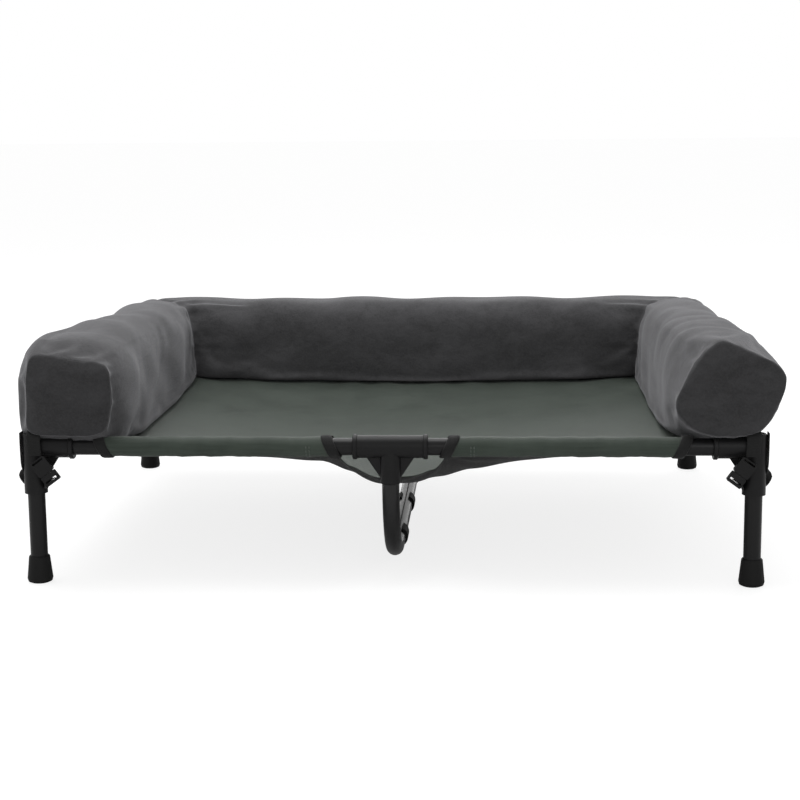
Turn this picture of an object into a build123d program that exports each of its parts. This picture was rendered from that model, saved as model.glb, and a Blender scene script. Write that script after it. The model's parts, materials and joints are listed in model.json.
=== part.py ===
from build123d import *
import math
import os

# Raised dog bed: a tube cot with a fabric sling, a centre hoop and a strapped-on bolster.
# Millimetres. The origin is on the floor at the middle of the bed, +X right, +Y back, +Z up.

# ---- frame ----
LEG_X = 394.0
LEG_Y = 305.0
RAIL_Z = 154.0
TUBE_R = 9.525
TUBE_WALL = 1.2
SOCKET_FIT = 0.06

# ---- corner connector ----
SOCKET_R = 12.7
SOCKET_BOTTOM = 102.0
SOCKET_TOP = 169.0
SOCKET_REACH = 45.0
COLLAR_R = 13.9
COLLAR_LENGTH = 5.0
RAIL_STOP = 14.0
LEG_TOP = 140.0
GUSSET = 15.0
GUSSET_DROP = 24.0
GUSSET_THICKNESS = 4.0

# ---- tee connector ----
TEE_HALF = 41.0
TEE_STEM_R = 11.5
TEE_STEM_BOTTOM = 113.0
TEE_WEB = 5.0
HOOP_TOP = 141.0

# ---- foot cap ----
CAP_HEIGHT = 30.0
CAP_TOP_R = 11.6
CAP_BOTTOM_R = 14.2
CAP_FLOOR = 5.0

# ---- centre hoop and its pads ----
HOOP_RUN_Z = 20.0
HOOP_BEND_R = 92.0
PAD_LENGTH = 28.0
PAD_THICKNESS = 2.4
PAD_OPEN_DEG = 27.0
PAD_FIT = 0.05
PAD_PLACES = {"front": -165.0, "middle": 0.0, "rear": 165.0}

# ---- sling ----
SLEEVE_INNER_R = 9.9
SLEEVE_OUTER_R = 11.1
SLEEVE_SLANT = 9.0
FRONT_SLEEVE_IN = 60.0
FRONT_SLEEVE_OUT = 321.0
SIDE_SLEEVE_END = 232.0
SHEET_EDGE_Z = 150.0
SHEET_DIP_Z = 110.0
SHEET_THICKNESS = 1.5
DIP_HALF_X = 190.0
DIP_FRONT_Y = -215.0
DIP_BACK_Y = 60.0
CORNER_CUT = 62.0
TEE_CUT_HALF = 58.0
TEE_CUT_DEPTH = 22.0
BINDING_WIDTH = 6.0
BINDING_THICKNESS = 0.8
SHEET_CLEAR = 0.5

# ---- bolster ----
BOLSTER_BOTTOM = 169.6
BOLSTER_LEFT = -412.0
BOLSTER_RIGHT = 418.0
BOLSTER_FRONT = -319.0
BOLSTER_BACK = 322.0
SIDE_WIDTH = 111.0
BACK_DEPTH = 110.0
LEFT_HEIGHT = 100.0
BACK_HEIGHT = 88.0
RIGHT_HEIGHT = 104.0
ROLL_EDGE_R = 32.0
LOBE_DROP = 32.0
LOBE_CLEAR = 16.0
COVER_THICKNESS = 1.2
FILL_GAP = 0.3
MITRE_GAP = 0.4

# ---- straps and buckles ----
WEB_WIDTH = 15.0
WEB_THICKNESS = 1.2
STRAP_FRONT_Y = 320.3
BUCKLE_WIDTH = 19.0
BUCKLE_THICKNESS = 6.0
FEMALE_LENGTH = 19.0
MALE_BASE_LENGTH = 12.0
PRONG_LENGTH = 14.0
PRONG_WIDTH = 3.2
PRONG_THICKNESS = 2.4
PRONG_OFFSET = 5.2
PRONG_CLEAR = 0.35
BUCKLE_AXIS_DEG = 54.0
MALE_BASE_X = 372.0
MALE_BASE_Z = 122.0
BAND_BOTTOM = 103.0
BAND_CLEAR = 0.5
STRAP_END_GAP = 6.5

CORNERS = {
    "front_left": (-1, -1),
    "front_right": (1, -1),
    "back_left": (-1, 1),
    "back_right": (1, 1),
}


def save(shape, node):
    """Write one node, made of one solid or a group of solids."""
    export_step(shape, f"parts/{node}.step")


def rod(start, end, radius):
    """A plain cylinder from one point to another."""
    line = Vector(*end) - Vector(*start)
    plane = Plane(origin=start, z_dir=line)
    return plane * Cylinder(radius, line.length, align=(Align.CENTER, Align.CENTER, Align.MIN))


def pipe(start, end, outer_r, inner_r):
    """An open tube from one point to another."""
    return rod(start, end, outer_r) - rod(start, end, inner_r)


def slab(low, high):
    """A box given by its lowest and highest corners."""
    size = [b - a for a, b in zip(low, high)]
    middle = [(a + b) / 2 for a, b in zip(low, high)]
    return Pos(*middle) * Box(*size)


# ---------------------------------------------------------------- frame tubes
def cross_rails():
    """Front and back rails, each in two lengths that meet in a tee connector."""
    for side, sx in (("left", -1), ("right", 1)):
        for face, sy in (("front", -1), ("back", 1)):
            start = (sx * TEE_WEB, sy * LEG_Y, RAIL_Z)
            end = (sx * (LEG_X - RAIL_STOP), sy * LEG_Y, RAIL_Z)
            save(pipe(start, end, TUBE_R, TUBE_R - TUBE_WALL), f"{face}_rail_{side}")


def side_rails():
    """One full-depth rail on each side."""
    for side, sx in (("left", -1), ("right", 1)):
        start = (sx * LEG_X, -(LEG_Y - RAIL_STOP), RAIL_Z)
        end = (sx * LEG_X, LEG_Y - RAIL_STOP, RAIL_Z)
        save(pipe(start, end, TUBE_R, TUBE_R - TUBE_WALL), f"side_rail_{side}")


def legs():
    """Four leg tubes, each pushed up into its corner connector."""
    for corner, (sx, sy) in CORNERS.items():
        start = (sx * LEG_X, sy * LEG_Y, CAP_FLOOR)
        end = (sx * LEG_X, sy * LEG_Y, LEG_TOP)
        save(pipe(start, end, TUBE_R, TUBE_R - TUBE_WALL), f"leg_{corner}")


def foot_caps():
    """Flared rubber caps with a rounded bottom edge."""
    outline = Polyline(
        (0, 0),
        (CAP_BOTTOM_R - 3.5, 0),
        (CAP_BOTTOM_R - 1.0, 1.2),
        (CAP_BOTTOM_R, 4.5),
        (CAP_TOP_R, CAP_HEIGHT - 1.0),
        (CAP_TOP_R - 0.8, CAP_HEIGHT),
        (TUBE_R, CAP_HEIGHT),
        (TUBE_R, CAP_FLOOR),
        (0, CAP_FLOOR),
        close=True,
    )
    cap = revolve(Plane.XZ * make_face(outline), Axis.Z)
    for corner, (sx, sy) in CORNERS.items():
        save(Pos(sx * LEG_X, sy * LEG_Y, 0) * cap, f"foot_cap_{corner}")


# ---------------------------------------------------------------- connectors
def socket_arm(direction, reach):
    """A horizontal socket with a raised collar round its mouth, from the rail's own axis."""
    dx, dy = direction
    tip = (dx * reach, dy * reach, RAIL_Z)
    collar_start = (dx * (reach - COLLAR_LENGTH), dy * (reach - COLLAR_LENGTH), RAIL_Z)
    arm = rod((0, 0, RAIL_Z), tip, SOCKET_R - 0.2)
    collar = rod(collar_start, tip, COLLAR_R)
    return arm + chamfer(collar.edges(), 0.8)


def socket_bore(direction, start, reach):
    """The hole for a rail, from the stop to the mouth."""
    dx, dy = direction
    low = (dx * start, dy * start, RAIL_Z)
    high = (dx * (reach + 1), dy * (reach + 1), RAIL_Z)
    return rod(low, high, TUBE_R + SOCKET_FIT)


def gusset(direction, stem_r):
    """A triangular rib in the angle under a horizontal socket."""
    dx, dy = direction
    top = RAIL_Z - SOCKET_R + 1.5
    outline = Polyline((0, top), (stem_r + GUSSET, top), (stem_r - 1, top - GUSSET_DROP), (0, top - GUSSET_DROP),
                       close=True)
    rib = extrude(Plane.XZ * make_face(outline), GUSSET_THICKNESS / 2, both=True)
    return Rot(0, 0, math.degrees(math.atan2(dy, dx))) * rib


def corner_connectors():
    """Three-way mouldings: two sockets for rails and one, open below, for the leg."""
    for corner, (sx, sy) in CORNERS.items():
        arms = [(-sx, 0), (0, -sy)]
        post = rod((0, 0, SOCKET_BOTTOM), (0, 0, SOCKET_TOP), SOCKET_R)
        post = chamfer(post.edges().sort_by(Axis.Z)[-1], 1.2)
        body = post
        for arm in arms:
            body = body + socket_arm(arm, SOCKET_REACH) + gusset(arm, SOCKET_R)
        leg_bore = rod((0, 0, SOCKET_BOTTOM - 1), (0, 0, LEG_TOP), TUBE_R + SOCKET_FIT)
        body = body - leg_bore
        for arm in arms:
            body = body - socket_bore(arm, RAIL_STOP, SOCKET_REACH)
        save(Pos(sx * LEG_X, sy * LEG_Y, 0) * body, f"corner_connector_{corner}")


def tee_connectors():
    """Mouldings that join the two lengths of a cross rail and hold one end of the hoop."""
    stem = rod((0, 0, TEE_STEM_BOTTOM), (0, 0, RAIL_Z), TEE_STEM_R)
    body = chamfer(stem.edges().sort_by(Axis.Z)[0], 1.4)
    for direction in ((1, 0), (-1, 0)):
        body = body + socket_arm(direction, TEE_HALF) + gusset(direction, TEE_STEM_R)
    body = body - rod((0, 0, TEE_STEM_BOTTOM - 1), (0, 0, HOOP_TOP), TUBE_R + SOCKET_FIT)
    for direction in ((1, 0), (-1, 0)):
        body = body - socket_bore(direction, TEE_WEB, TEE_HALF)
    for face, sy in (("front", -1), ("back", 1)):
        save(Pos(0, sy * LEG_Y, 0) * body, f"tee_connector_{face}")


# ---------------------------------------------------------------- centre hoop
def center_hoop():
    """A bent tube that drops from the front tee, runs back low down and rises to the back tee."""
    route = FilletPolyline(
        (0, -LEG_Y, HOOP_TOP),
        (0, -LEG_Y, HOOP_RUN_Z),
        (0, LEG_Y, HOOP_RUN_Z),
        (0, LEG_Y, HOOP_TOP),
        radius=HOOP_BEND_R,
    )
    ring = Circle(TUBE_R) - Circle(TUBE_R - TUBE_WALL)
    section = Plane(origin=(0, -LEG_Y, HOOP_TOP), z_dir=(0, 0, -1)) * ring
    save(sweep(section, path=route), "center_hoop")


def hoop_pads():
    """Open rings snapped on under the hoop's low run."""
    inner = TUBE_R + PAD_FIT
    outer = inner + PAD_THICKNESS
    reach = outer * 1.6
    half = math.radians(PAD_OPEN_DEG)
    wedge = make_face(Polyline((0, 0), (reach * math.sin(half), reach * math.cos(half)),
                               (-reach * math.sin(half), reach * math.cos(half)), close=True))
    ring = Circle(outer) - Circle(inner) - wedge
    for place, y in PAD_PLACES.items():
        plane = Plane(origin=(0, y, HOOP_RUN_Z), x_dir=(1, 0, 0), z_dir=(0, -1, 0))
        save(plane * extrude(ring, PAD_LENGTH / 2, both=True), f"hoop_pad_{place}")


# ---------------------------------------------------------------- sling
def dish(lift):
    """A shallow four-sided dish from the rails down to a low middle, as a solid block."""
    edge_x = LEG_X - SLEEVE_INNER_R + 0.2
    edge_y = LEG_Y - SLEEVE_INNER_R + 0.2
    top = Pos(0, 0, SHEET_EDGE_Z + lift) * Rectangle(2 * edge_x, 2 * edge_y)
    middle_y = (DIP_FRONT_Y + DIP_BACK_Y) / 2
    low = Pos(0, middle_y, SHEET_DIP_Z + lift) * Rectangle(2 * DIP_HALF_X, DIP_BACK_Y - DIP_FRONT_Y)
    return loft([low, top], ruled=True)


def slanted_pipe(start, end, outer_r, inner_r, slants):
    """A tube with leaning end faces: a positive slant shortens an end's top, a negative one its bottom."""
    line = Vector(*end) - Vector(*start)
    length = line.length
    top_cuts = [max(0, slant) for slant in slants]
    bottom_cuts = [max(0, -slant) for slant in slants]
    outline = Polyline(
        (bottom_cuts[0], -outer_r),
        (length - bottom_cuts[1], -outer_r),
        (length - top_cuts[1], outer_r),
        (top_cuts[0], outer_r),
        close=True,
    )
    ring = Circle(outer_r) - Circle(inner_r)
    tube = Rot(0, 90, 0) * extrude(ring, length)
    keep = extrude(Plane.XZ * make_face(outline), outer_r + 1, both=True)
    turned = Rot(0, 0, math.degrees(math.atan2(line.Y, line.X))) * (tube & keep)
    return Pos(*start) * turned


def sleeve_runs():
    """Start, end and slants of each sleeve, by name."""
    runs = {}
    for face, sy in (("front", -1), ("back", 1)):
        for side, sx in (("left", -1), ("right", 1)):
            ends = sorted((sx * FRONT_SLEEVE_IN, sx * FRONT_SLEEVE_OUT))
            slants = (sx * SLEEVE_SLANT, -sx * SLEEVE_SLANT)
            runs[f"{face}_{side}"] = ((ends[0], sy * LEG_Y, RAIL_Z), (ends[1], sy * LEG_Y, RAIL_Z), slants)
    for side, sx in (("left", -1), ("right", 1)):
        low = (sx * LEG_X, -SIDE_SLEEVE_END, RAIL_Z)
        high = (sx * LEG_X, SIDE_SLEEVE_END, RAIL_Z)
        runs[f"side_{side}"] = (low, high, (SLEEVE_SLANT, SLEEVE_SLANT))
    return runs


def sling():
    """The coated cloth: one dished sheet with a sleeve round each rail, cut away at the connectors."""
    sheet = dish(0) - dish(SHEET_THICKNESS)
    for sx, sy in CORNERS.values():
        corner = Pos(sx * LEG_X, sy * LEG_Y, RAIL_Z) * Rot(0, 0, 45) * Box(CORNER_CUT * 2, CORNER_CUT * 2, 60)
        sheet = sheet - corner
    for sy in (-1, 1):
        sheet = sheet - Pos(0, sy * LEG_Y, RAIL_Z) * Box(2 * TEE_CUT_HALF, 2 * TEE_CUT_DEPTH, 60)
    body = sheet
    for start, end, slants in sleeve_runs().values():
        body = body + slanted_pipe(start, end, SLEEVE_OUTER_R, SLEEVE_INNER_R, slants)
    save(body, "sling")


def sleeve_bindings():
    """Folded tape sewn round both ends of each sleeve."""
    inner = SLEEVE_OUTER_R + 0.05
    outer = inner + BINDING_THICKNESS
    for name, (start, end, slants) in sleeve_runs().items():
        whole = slanted_pipe(start, end, outer, inner, slants)
        along = (Vector(*end) - Vector(*start)).normalized()
        short_start = tuple(Vector(*start) + along * BINDING_WIDTH)
        short_end = tuple(Vector(*end) - along * BINDING_WIDTH)
        middle = slanted_pipe(short_start, short_end, outer + 0.5, inner - 0.5, slants)
        sheet_room = dish(-SHEET_CLEAR) - dish(SHEET_THICKNESS + SHEET_CLEAR)
        edge_room = slab((-LEG_X, -LEG_Y, SHEET_EDGE_Z - 2 * SHEET_CLEAR), (LEG_X, LEG_Y, SHEET_EDGE_Z + SHEET_CLEAR))
        save(whole - middle - sheet_room - edge_room, f"sleeve_binding_{name}")


# ---------------------------------------------------------------- bolster
def roll(low, high, inset):
    """A long cushion with rounded long edges, drawn in by an inset on every side."""
    low = [value + inset for value in low]
    high = [value - inset for value in high]
    block = slab(low, high)
    long_axis = Axis.Y if high[1] - low[1] > high[0] - low[0] else Axis.X
    return fillet(block.edges().filter_by(long_axis), ROLL_EDGE_R - inset)


def lobe_room(inset):
    """The space between the rails and above the sheet, where a cushion's soft underside hangs."""
    side_x = LEG_X - LOBE_CLEAR - inset
    side_y = LEG_Y - LOBE_CLEAR - inset
    lift = SHEET_THICKNESS + SHEET_CLEAR + inset
    room = slab((-side_x, -side_y, SHEET_DIP_Z), (side_x, side_y, BOLSTER_BOTTOM + ROLL_EDGE_R + 10))
    below = slab((-LEG_X, -LEG_Y, SHEET_DIP_Z - 10), (LEG_X, LEG_Y, SHEET_EDGE_Z + lift)) - dish(lift)
    return room - below


def cushion(low, high, inset):
    """A roll that rests on the rails, with a lobe that hangs inside them down to the sheet."""
    deep_low = (low[0], low[1], low[2] - LOBE_DROP)
    lobe = roll(deep_low, high, inset) & lobe_room(inset)
    return roll(low, high, inset) + lobe


def corner_prism(sx, behind):
    """The ground beyond a back corner's mitre, either behind it or beside it."""
    outer_x = BOLSTER_LEFT if sx < 0 else BOLSTER_RIGHT
    inner_x = outer_x - sx * SIDE_WIDTH
    inner_y = BOLSTER_BACK - BACK_DEPTH
    run_x = outer_x - inner_x
    run_y = BOLSTER_BACK - inner_y
    far_in = (inner_x - run_x, inner_y - run_y)
    far_out = (outer_x + run_x, BOLSTER_BACK + run_y)
    if behind:
        third = (far_in[0], far_out[1])
        shift = -MITRE_GAP
    else:
        third = (far_out[0], far_in[1])
        shift = MITRE_GAP
    face = make_face(Polyline(far_in, far_out, third, close=True))
    return Pos(0, shift, 0) * extrude(face, 400)


def roll_parts(low, high, cutters, side):
    """Cover and filling of one roll, mitred by its cutters."""
    outer = cushion(low, high, 0)
    inner = cushion(low, high, COVER_THICKNESS)
    filling = cushion(low, high, COVER_THICKNESS + FILL_GAP)
    for cutter in cutters:
        outer = outer - cutter
    cover = outer - inner
    for cutter in cutters:
        filling = filling - cutter
    save(cover, f"bolster_cover_{side}")
    save(filling, f"bolster_fill_{side}")


def bolster():
    """Three cushions sewn end to end round the back and both sides."""
    left_low = (BOLSTER_LEFT, BOLSTER_FRONT, BOLSTER_BOTTOM)
    left_high = (BOLSTER_LEFT + SIDE_WIDTH, BOLSTER_BACK, BOLSTER_BOTTOM + LEFT_HEIGHT)
    right_low = (BOLSTER_RIGHT - SIDE_WIDTH, BOLSTER_FRONT, BOLSTER_BOTTOM)
    right_high = (BOLSTER_RIGHT, BOLSTER_BACK, BOLSTER_BOTTOM + RIGHT_HEIGHT)
    back_low = (BOLSTER_LEFT, BOLSTER_BACK - BACK_DEPTH, BOLSTER_BOTTOM)
    back_high = (BOLSTER_RIGHT, BOLSTER_BACK, BOLSTER_BOTTOM + BACK_HEIGHT)
    roll_parts(left_low, left_high, [corner_prism(-1, True)], "left")
    roll_parts(right_low, right_high, [corner_prism(1, True)], "right")
    roll_parts(back_low, back_high, [corner_prism(-1, False), corner_prism(1, False)], "back")


# ---------------------------------------------------------------- straps and buckles
def buckle_frame():
    """Directions at the front left corner: along the buckle's pull, across it, and through it."""
    angle = math.radians(BUCKLE_AXIS_DEG)
    along = Vector(math.cos(angle), 0, -math.sin(angle))
    base = Vector(-MALE_BASE_X, -STRAP_FRONT_Y - BUCKLE_THICKNESS / 2, MALE_BASE_Z)
    return along, base


def in_buckle(shape, shift):
    """Put a shape, drawn with its length on X and its thickness on Y, on the buckle's line."""
    along, base = buckle_frame()
    place = base + along * shift
    return Pos(*place) * Rot(0, BUCKLE_AXIS_DEG, 0) * shape


def female_half():
    """The housing: a flat box with two side channels for the prongs and a slot for its strap."""
    length = FEMALE_LENGTH
    middle = -(MALE_BASE_LENGTH + length) / 2 - 0.4
    body = Box(length, BUCKLE_THICKNESS, BUCKLE_WIDTH)
    body = fillet(body.edges().filter_by(Axis.Y), 2.5)
    for sz in (-1, 1):
        channel = Box(PRONG_LENGTH + 1.5, PRONG_THICKNESS + 2 * PRONG_CLEAR, PRONG_WIDTH + 2 * PRONG_CLEAR)
        body = body - Pos((length - PRONG_LENGTH - 1.5) / 2 + 0.01, 0, sz * PRONG_OFFSET) * channel
    slot = Box(2.2, BUCKLE_THICKNESS + 2, WEB_WIDTH - 1)
    body = body - Pos(-length / 2 + 2.4, 0, 0) * slot
    return in_buckle(body, middle)


def male_half():
    """The plug: a slotted base and two prongs that push into the housing."""
    base = Box(MALE_BASE_LENGTH, BUCKLE_THICKNESS, BUCKLE_WIDTH - 1)
    base = fillet(base.edges().filter_by(Axis.Y), 1.5)
    base = base - Pos(1.5, 0, 0) * Box(2.2, BUCKLE_THICKNESS + 2, WEB_WIDTH - 1)
    body = base
    for sz in (-1, 1):
        prong = Box(PRONG_LENGTH + 1, PRONG_THICKNESS, PRONG_WIDTH)
        body = body + Pos(-MALE_BASE_LENGTH / 2 - PRONG_LENGTH / 2 + 0.5, 0, sz * PRONG_OFFSET) * prong
    return in_buckle(body, 0)


def drop_strap():
    """Webbing from under the bolster, down in front of the connector, to the housing's slot."""
    along, base = buckle_frame()
    slot = base - along * (MALE_BASE_LENGTH / 2 + FEMALE_LENGTH + STRAP_END_GAP)
    top = Vector(-LEG_X + 3.0, 0, BOLSTER_BOTTOM - 0.4)
    low = Vector(slot.X, 0, slot.Z)
    line = top - low
    lean = math.degrees(math.atan2(line.X, line.Z))
    web = Box(WEB_WIDTH, WEB_THICKNESS, line.length)
    middle = (top + low) * 0.5
    return Pos(middle.X, -STRAP_FRONT_Y - WEB_THICKNESS, middle.Z) * Rot(0, lean, 0) * web


def wrap_strap():
    """Webbing from the bolster's outer side, down and round the back of the socket."""
    inner = SOCKET_R + BAND_CLEAR
    outer = inner + WEB_THICKNESS
    ring = Circle(outer) - Circle(inner)
    half = Pos(0, outer, 0) * Rectangle(4 * outer, 2 * outer)
    band = extrude(ring & half, WEB_WIDTH)
    forward = slab((inner, -15.0, 0), (outer, 0.0, WEB_WIDTH))
    rise = slab((-outer, -WEB_WIDTH / 2, 0), (-inner, WEB_WIDTH / 2, BOLSTER_BOTTOM - 0.4 - BAND_BOTTOM))
    return Pos(-LEG_X, -LEG_Y, BAND_BOTTOM) * (band + forward + rise)


def straps():
    """The four corner fastenings, mirrored from the front left one."""
    pieces = {
        "strap_drop": drop_strap(),
        "strap_wrap": wrap_strap(),
        "buckle_female": female_half(),
        "buckle_male": male_half(),
    }
    for corner, (sx, sy) in CORNERS.items():
        for name, piece in pieces.items():
            placed = piece
            if sx > 0:
                placed = mirror(placed, Plane.YZ)
            if sy > 0:
                placed = mirror(placed, Plane.XZ)
            save(placed, f"{name}_{corner}")


os.makedirs("parts", exist_ok=True)
cross_rails()
side_rails()
legs()
foot_caps()
corner_connectors()
tee_connectors()
center_hoop()
hoop_pads()
sling()
sleeve_bindings()
bolster()
straps()
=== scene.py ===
import json
import math
import bpy
import numpy as np
from mathutils import Matrix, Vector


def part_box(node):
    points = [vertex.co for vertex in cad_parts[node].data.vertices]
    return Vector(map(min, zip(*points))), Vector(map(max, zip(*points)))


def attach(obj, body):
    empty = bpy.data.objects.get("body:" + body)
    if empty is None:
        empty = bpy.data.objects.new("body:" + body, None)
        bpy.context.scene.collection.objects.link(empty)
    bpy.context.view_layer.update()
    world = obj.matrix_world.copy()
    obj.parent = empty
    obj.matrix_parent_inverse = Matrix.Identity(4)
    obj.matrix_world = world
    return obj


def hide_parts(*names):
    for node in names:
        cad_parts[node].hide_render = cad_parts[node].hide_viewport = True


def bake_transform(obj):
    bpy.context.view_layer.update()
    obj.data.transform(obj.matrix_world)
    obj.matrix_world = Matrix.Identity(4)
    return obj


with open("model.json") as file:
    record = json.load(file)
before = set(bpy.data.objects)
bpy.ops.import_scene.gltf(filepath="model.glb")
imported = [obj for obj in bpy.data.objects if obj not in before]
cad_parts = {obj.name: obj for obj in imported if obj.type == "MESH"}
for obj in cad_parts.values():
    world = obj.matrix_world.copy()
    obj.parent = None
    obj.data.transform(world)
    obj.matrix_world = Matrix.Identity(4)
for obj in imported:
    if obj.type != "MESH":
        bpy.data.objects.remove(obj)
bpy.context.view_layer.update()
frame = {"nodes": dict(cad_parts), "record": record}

# Raised dog bed: the tube frame stays as designed, the cloth, cushions and straps are made here.
# Metres, +Z up, +Y to the back.

RNG_SEED = 11
CORNERS = {
    "front_left": (-1, -1),
    "front_right": (1, -1),
    "back_left": (-1, 1),
    "back_right": (1, 1),
}


# ---------------------------------------------------------------- places read from the frame
def middle(node):
    """Middle of a node's box."""
    low, high = (np.array(corner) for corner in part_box(node))
    return (low + high) / 2


RAIL = middle("front_rail_right")
RAIL_Z = RAIL[2]
RAIL_Y = -RAIL[1]
RAIL_X = middle("side_rail_right")[0]
TUBE_R = (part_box("side_rail_right")[1][0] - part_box("side_rail_right")[0][0]) / 2
SLEEVE_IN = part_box("sleeve_binding_front_right")[0][0]
SLEEVE_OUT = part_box("sleeve_binding_front_right")[1][0]
SIDE_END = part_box("sleeve_binding_side_right")[1][1]
ROLL_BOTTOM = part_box("bolster_cover_left")[0][2]


# ---------------------------------------------------------------- mesh helpers
def grid_faces(rows, columns, wrap_rows=False, wrap_columns=False):
    """Quads between neighbouring points of a grid; a wrapped direction joins its last line to its first."""
    r, c = np.meshgrid(
        np.arange(rows if wrap_rows else rows - 1),
        np.arange(columns if wrap_columns else columns - 1),
        indexing="ij",
    )
    r_next = (r + 1) % rows
    c_next = (c + 1) % columns
    quads = [r * columns + c, r_next * columns + c, r_next * columns + c_next, r * columns + c_next]
    return np.stack(quads, -1).reshape(-1, 4)


def piece_from(name, points, faces, body, uv=None):
    """A smooth-shaded piece from points, a list of face arrays and, where given, a UV for each point.

    body is the body it rides on, or None for a piece that is left unattached."""
    mesh = bpy.data.meshes.new(name)
    all_faces = [tuple(face) for group in faces for face in np.asarray(group).tolist()]
    mesh.from_pydata(np.asarray(points, float).reshape(-1, 3).tolist(), [], all_faces)
    mesh.polygons.foreach_set("use_smooth", np.ones(len(mesh.polygons), bool))
    if uv is not None:
        corners = np.empty(len(mesh.loops), np.int64)
        mesh.loops.foreach_get("vertex_index", corners)
        layer = mesh.uv_layers.new(name="cloth")
        layer.data.foreach_set("uv", np.asarray(uv, np.float32).reshape(-1, 2)[corners].ravel())
    mesh.update()
    piece = bpy.data.objects.new(name, mesh)
    bpy.context.scene.collection.objects.link(piece)
    if body is not None:
        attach(piece, body)
    return piece


def unit(vectors):
    """Vectors scaled to length one."""
    return vectors / np.maximum(np.linalg.norm(vectors, axis=-1, keepdims=True), 1e-12)


def smooth_path(points, count):
    """A path through a few points, rounded by three passes of corner cutting, then evenly spaced."""
    path = np.asarray(points, float)
    for _ in range(3):
        near = 0.75 * path[:-1] + 0.25 * path[1:]
        far = 0.25 * path[:-1] + 0.75 * path[1:]
        inner = np.stack([near, far], 1).reshape(-1, 3)
        path = np.vstack([path[:1], inner, path[-1:]])
    run = np.concatenate([[0], np.cumsum(np.linalg.norm(np.diff(path, axis=0), axis=1))])
    even = np.linspace(0, run[-1], count)
    return np.stack([np.interp(even, run, path[:, k]) for k in range(3)], -1)


def band(name, path, across, width, thickness, body, slot):
    """A woven band: a flat oval section carried along a path, with its width on the across direction."""
    path = np.asarray(path, float)
    along = unit(np.gradient(path, axis=0))
    across = np.broadcast_to(np.asarray(across, float), path.shape)
    across = unit(across - along * np.sum(along * across, -1, keepdims=True))
    out = np.cross(along, across)
    turn = np.linspace(0, 2 * np.pi, 16, endpoint=False)
    wide = np.sign(np.cos(turn)) * np.abs(np.cos(turn)) ** 0.35 * width / 2
    thick = np.sign(np.sin(turn)) * np.abs(np.sin(turn)) ** 0.7 * thickness / 2
    points = path[:, None] + across[:, None] * wide[None, :, None] + out[:, None] * thick[None, :, None]
    rows, columns = points.shape[:2]
    run = np.concatenate([[0], np.cumsum(np.linalg.norm(np.diff(path, axis=0), axis=1))])
    uv = np.stack(np.broadcast_arrays(run[:, None], wide[None, :]), -1)
    faces = grid_faces(rows, columns, wrap_columns=True)[:, ::-1]
    start = np.arange(columns)[None, :]
    end = ((rows - 1) * columns + np.arange(columns))[None, ::-1]
    return piece_from(name, points, [faces, start, end], body, uv)


def stitch_row(name, path, outward, body, length=0.0030, gap=0.0014, radius=0.00038):
    """Thread stitches along a path: short rounded grains, evenly spaced, half sunk in the cloth."""
    path = np.asarray(path, float)
    outward = np.broadcast_to(np.asarray(outward, float), path.shape)
    run = np.concatenate([[0], np.cumsum(np.linalg.norm(np.diff(path, axis=0), axis=1))])
    centres = np.arange(gap + length / 2, run[-1], length + gap)
    place = np.stack([np.interp(centres, run, path[:, k]) for k in range(3)], -1)
    out = unit(np.stack([np.interp(centres, run, outward[:, k]) for k in range(3)], -1))
    ahead = np.stack([np.interp(centres + 1e-3, run, path[:, k]) for k in range(3)], -1)
    behind = np.stack([np.interp(centres - 1e-3, run, path[:, k]) for k in range(3)], -1)
    along = unit(ahead - behind)
    side = np.cross(along, out)
    rows = np.linspace(-1, 1, 5)
    fat = radius * np.sqrt(1 - (0.93 * rows) ** 2)
    turn = np.linspace(0, 2 * np.pi, 6, endpoint=False)
    points = (
        place[:, None, None]
        + along[:, None, None] * (rows * length / 2)[None, :, None, None]
        + out[:, None, None] * (fat[:, None] * np.sin(turn))[None, :, :, None]
        + side[:, None, None] * (fat[:, None] * np.cos(turn))[None, :, :, None]
    )
    grain = grid_faces(5, 6, wrap_columns=True)
    start = np.arange(len(centres))[:, None, None] * 30
    faces = (grain[None] + start).reshape(-1, 4)
    caps = np.stack([np.arange(6)[::-1], 24 + np.arange(6)])
    caps = (caps[None] + start).reshape(-1, 6)
    return piece_from(name, points, [faces, caps], body)


# ---------------------------------------------------------------- finishes
def add_node(tree, kind, settings=None, inputs=None):
    """One shader node: its settings are set first, then the values or links of its sockets."""
    node = tree.nodes.new(kind)
    for label, value in (settings or {}).items():
        setattr(node, label, value)
    for label, value in (inputs or {}).items():
        if isinstance(value, Value):
            value = value.socket
        if isinstance(value, bpy.types.NodeSocket):
            tree.links.new(value, node.inputs[label])
        else:
            node.inputs[label].default_value = value
    return node


class Value:
    """A shader socket; arithmetic on it adds Math nodes."""

    def __init__(self, finish, socket):
        """Wrap an output socket of one of a finish's nodes."""
        self.finish = finish
        self.socket = socket

    def math(self, operation, *others):
        """The result of a Math node on this value and the others."""
        inputs = dict(enumerate((self, *others)))
        node = self.finish.node("ShaderNodeMath", {"operation": operation}, inputs)
        return Value(self.finish, node.outputs[0])

    def __add__(self, other):
        return self.math("ADD", other)

    def __mul__(self, other):
        return self.math("MULTIPLY", other)

    def __sub__(self, other):
        return self.math("SUBTRACT", other)

    def __rsub__(self, other):
        return (self * -1.0) + other

    __radd__ = __add__
    __rmul__ = __mul__


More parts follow.
